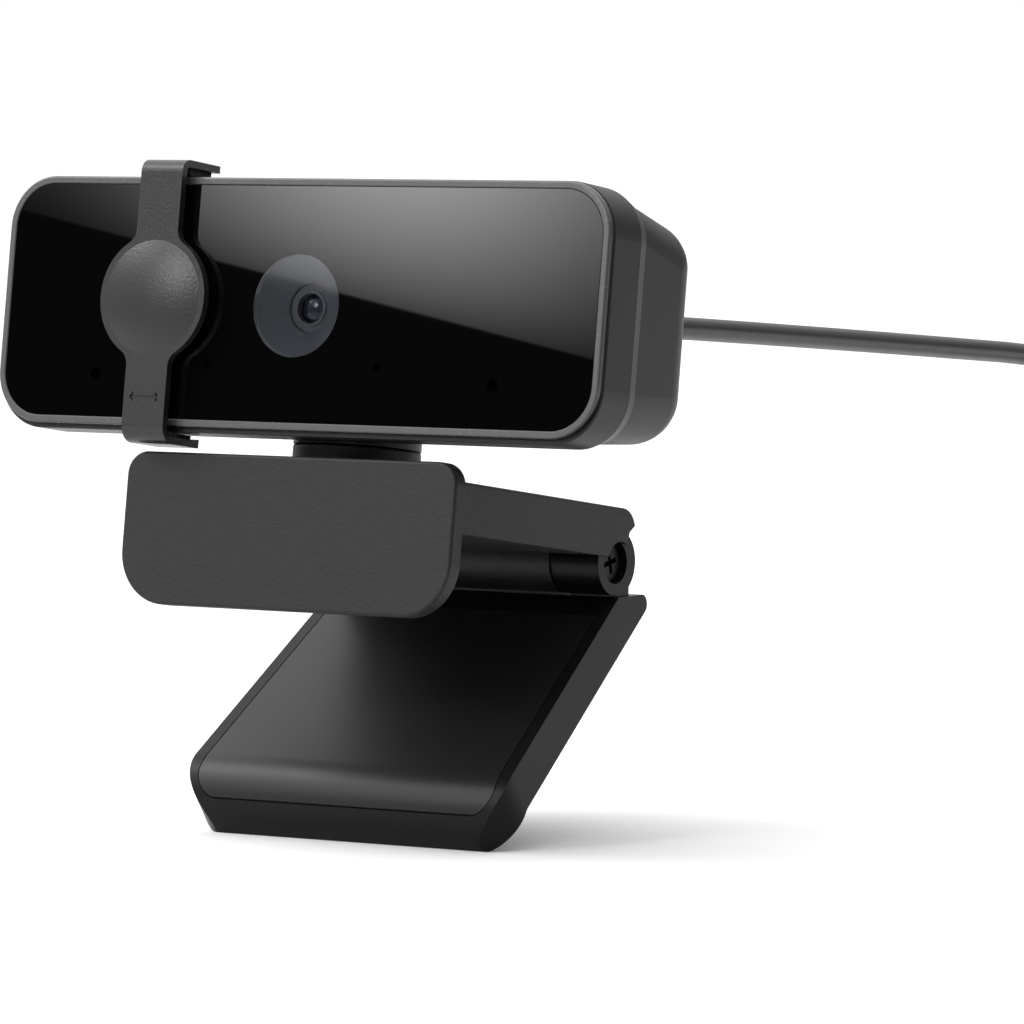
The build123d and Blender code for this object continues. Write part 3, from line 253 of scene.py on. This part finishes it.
laminate, tree, shader, here = start_material("solder masked laminate", "#1E3A2A", Roughness=0.45, IOR=1.55)
wear(laminate, "main_board")

epoxy, tree, shader, here = start_material("moulded epoxy", "#17181A", Roughness=0.6, IOR=1.55)
wear(epoxy, "video_chip", "microphones", "image_sensor", "cable_connector")


# ---- privacy shutter -----------------------------------------------------------------------------
# One ABS strap that hooks over and under the head, with a domed disc that covers the lens when slid along.
# It has the same grain as the clip and two strips of black felt under its hooks.
slider, tree, shader, here = start_material("grained abs strap", "#242425", Roughness=0.32, IOR=1.52)
shader.inputs["Specular IOR Level"].default_value = 0.45
grain = add(tree, "ShaderNodeTexNoise", {"Vector": here, "Scale": 1 / 0.0004, "Detail": 3.0, "Roughness": 0.6})
bump = add(tree, "ShaderNodeBump", {"Height": grain.outputs[0], "Strength": 0.5, "Distance": 0.00008})
tree.links.new(bump.outputs[0], shader.inputs["Normal"])
wear(slider, "privacy_shutter")

felt, tree, shader, here = start_material("black felt", "#0C0C0D", Roughness=0.95, IOR=1.45)
shader.inputs["Sheen Weight"].default_value = 0.4
fibre = add(tree, "ShaderNodeTexNoise", {"Vector": here, "Scale": 1 / 0.0002, "Detail": 4.0})
bump = add(tree, "ShaderNodeBump", {"Height": fibre.outputs[0], "Strength": 0.9, "Distance": 0.0002})
tree.links.new(bump.outputs[0], shader.inputs["Normal"])
wear(felt, "shutter_pads")


# ---- clip and its swivel -------------------------------------------------------------------------
# The front plate, the arm under the head and the swivel neck are grained ABS, a little lighter than the head.
# The hinge barrel and the skirts beside it are part of the arm's moulding.
clip_abs, tree, shader, here = start_material("coarse grained abs", "#252526", Roughness=0.44, IOR=1.52)
shader.inputs["Specular IOR Level"].default_value = 0.3
grain = add(tree, "ShaderNodeTexNoise", {"Vector": here, "Scale": 1 / 0.0006, "Detail": 4.0, "Roughness": 0.7})
bump = add(tree, "ShaderNodeBump", {"Height": grain.outputs[0], "Strength": 0.7, "Distance": 0.00011})
tree.links.new(bump.outputs[0], shader.inputs["Normal"])
mottle = add(tree, "ShaderNodeMapRange", {0: grain.outputs[0], 3: 0.4, 4: 0.56})
tree.links.new(mottle.outputs[0], shader.inputs["Roughness"])
wear(clip_abs, "clip_plate", "clip_arm", "arm_floor", "swivel_neck")

nylon, tree, shader, here = start_material("turned black nylon", "#161618", Roughness=0.45, IOR=1.53)
wear(nylon, "swivel_washer", "hinge_washers")

# The hinge screws are blackened steel, sunk in the ends of the leg's knuckles.
blackened, tree, shader, here = start_material("blackened steel", "#2A2A2C", Metallic=1.0, Roughness=0.38)
turning = add(tree, "ShaderNodeTexNoise", {"Vector": here, "Scale": 1 / 0.0005, "Detail": 3.0})
rough = add(tree, "ShaderNodeMapRange", {0: turning.outputs[0], 3: 0.3, 4: 0.5})
tree.links.new(rough.outputs[0], shader.inputs["Roughness"])
wear(blackened, "hinge_screws")

rubber, tree, shader, here = start_material("soft silicone rubber", "#1B1C1E", Roughness=0.55, IOR=1.43)
pore = add(tree, "ShaderNodeTexNoise", {"Vector": here, "Scale": 1 / 0.0005, "Detail": 2.0})
bump = add(tree, "ShaderNodeBump", {"Height": pore.outputs[0], "Strength": 0.3, "Distance": 0.00005})
tree.links.new(bump.outputs[0], shader.inputs["Normal"])
wear(rubber, "plate_pad", "arm_pad")


# ---- leg -----------------------------------------------------------------------------------------
# A smooth ABS slab with a rolled toe, a soft pad let into its front and a brass tripod thread in its back.
# Its sheen is weak, because its level top lies almost edge-on under the hinge barrel.
leg_abs, tree, shader, here = start_material("smooth satin abs", "#1A1A1B", Roughness=0.36, IOR=1.52)
shader.inputs["Specular IOR Level"].default_value = 0.15
cloud = add(tree, "ShaderNodeTexNoise", {"Vector": here, "Scale": 1 / 0.015, "Detail": 3.0})
rough = add(tree, "ShaderNodeMapRange", {0: cloud.outputs[0], 3: 0.3, 4: 0.4})
tree.links.new(rough.outputs[0], shader.inputs["Roughness"])
wear(leg_abs, "leg_frame")

pad, tree, shader, here = start_material("satin elastomer", "#242425", Roughness=0.36, IOR=1.5)
shader.inputs["Specular IOR Level"].default_value = 0.3
fine = add(tree, "ShaderNodeTexNoise", {"Vector": here, "Scale": 1 / 0.0008, "Detail": 2.0})
bump = add(tree, "ShaderNodeBump", {"Height": fine.outputs[0], "Strength": 0.15, "Distance": 0.00005})
tree.links.new(bump.outputs[0], shader.inputs["Normal"])
wear(pad, "leg_pad")

brass, tree, shader, here = start_material("turned brass", "#C79B55", Metallic=1.0, Roughness=0.3)
wear(brass, "tripod_insert")


# ---- studio --------------------------------------------------------------------------------------
# White floor and backdrop, a sky that is bright overhead and dim to the right, a soft key light high on
# the left and a small one in front that puts the highlight on the shutter's disc.
bpy.ops.mesh.primitive_plane_add(size=12, location=(0, 0, 0))
floor = bpy.context.object
floor.name = "studio_floor"
sweep, tree, shader, here = start_material("white paper sweep", "#FFFFFF", Roughness=0.9)
shader.inputs["Specular IOR Level"].default_value = 0.1
floor.data.materials.append(sweep)
floor.visible_diffuse = False

bpy.ops.mesh.primitive_plane_add(size=14, location=(-1.5, 5.5, 0), rotation=(math.radians(90), 0, 0))
backdrop = bpy.context.object
backdrop.name = "studio_backdrop"
lit_paper = bpy.data.materials.new("lit white backdrop")
lit_paper.use_nodes = True
tree = lit_paper.node_tree
tree.nodes.clear()
paper_light = add(tree, "ShaderNodeEmission", {"Strength": 1.0})
add(tree, "ShaderNodeOutputMaterial", {"Surface": paper_light.outputs[0]})
backdrop.data.materials.append(lit_paper)
backdrop.visible_diffuse = False
backdrop.visible_glossy = False
backdrop.visible_shadow = False

world = bpy.data.worlds.new("studio")
bpy.context.scene.world = world
world.use_nodes = True
tree = world.node_tree
sky = tree.nodes["Background"]
sky.inputs["Color"].default_value = (1, 1, 1, 1)
way = add(tree, "ShaderNodeSeparateXYZ", {0: add(tree, "ShaderNodeTexCoord").outputs["Generated"]})
dome = add(tree, "ShaderNodeMapRange", {0: way.outputs["Z"], 1: -0.25, 2: 0.85, 3: -0.15, 4: 1.75})
across = add(tree, "ShaderNodeMapRange", {0: way.outputs["X"], 1: -0.7, 2: 0.7, 3: 1.35, 4: 0.35})
both = add(tree, "ShaderNodeMath", {0: dome.outputs[0], 1: across.outputs[0]}, operation="MULTIPLY")
tree.links.new(both.outputs[0], sky.inputs["Strength"])


def soft_light(name, place, size, power):
    """A square area light aimed at the middle of the glass."""
    bpy.ops.object.light_add(type="AREA", location=place)
    light = bpy.context.object
    light.name = name
    light.data.size = size
    light.data.energy = power
    light.rotation_euler = (glass_middle - Vector(place)).to_track_quat("-Z", "Y").to_euler()


soft_light("key_light", (-1.2, -0.6, 1.1), 0.6, 9)
soft_light("front_light", (-0.4, -1.03, 0.585), 0.25, 3)

# A graded card stands where the glass mirrors it: dark below a slanting edge, and above it brightest in the
# middle and towards the top.
CARD_W, CARD_H = 0.25, 0.13
CARD_DISTANCE = 1.2
EDGE_SLANT = -0.098
EDGE_FROM, EDGE_TO = 0.0055, 0.0062    # height of the edge over the card's middle, and where it is fully lit
RISE = 155.0               # strength gained per metre over the card's middle
RISE_START = 0.2
SPREAD = 13.9              # one over the width of the bright part, in metres
SPREAD_SHIFT = 0.24        # and how far it is moved aside, in widths
card_way = Vector((-0.5719, -0.7968, 0.1950))
card_turn = math.atan2(card_way[1], card_way[0]) - math.pi / 2
bpy.ops.mesh.primitive_plane_add(size=1.0, location=face_centre + card_way * CARD_DISTANCE,
                                 rotation=(math.radians(90), 0, card_turn))
card = bpy.context.object
card.name = "reflector_card"
card.scale = (CARD_W, CARD_H, 1)
graded = bpy.data.materials.new("graded light card")
graded.use_nodes = True
tree = graded.node_tree
tree.nodes.clear()


def sums(operation, *values):
    """The output of a maths node fed with these values."""
    return add(tree, "ShaderNodeMath", dict(enumerate(values)), operation=operation).outputs[0]


# The plane is one unit across before it is stretched, so lengths are given back their metres here.
axes = add(tree, "ShaderNodeSeparateXYZ", {0: add(tree, "ShaderNodeTexCoord").outputs["Object"]})
along = sums("MULTIPLY", axes.outputs["X"], CARD_W)
edge = sums("MULTIPLY_ADD", along, EDGE_SLANT, sums("MULTIPLY", axes.outputs["Y"], CARD_H))
lit = add(tree, "ShaderNodeMapRange", {0: edge, 1: EDGE_FROM, 2: EDGE_TO, 3: 0.0, 4: 1.0})
aside = sums("MULTIPLY_ADD", along, SPREAD, SPREAD_SHIFT)
fall = sums("EXPONENT", sums("MULTIPLY", sums("MULTIPLY", aside, aside), -1.0))
bright = sums("MULTIPLY", sums("MULTIPLY_ADD", edge, RISE, RISE_START), fall)
glow = sums("MULTIPLY", bright, lit.outputs[0])
light = add(tree, "ShaderNodeEmission", {"Strength": glow})
add(tree, "ShaderNodeOutputMaterial", {"Surface": light.outputs[0]})
card.data.materials.append(graded)
card.visible_camera = False
card.visible_diffuse = False
card.visible_shadow = False

bpy.context.scene.view_settings.view_transform = "Standard"
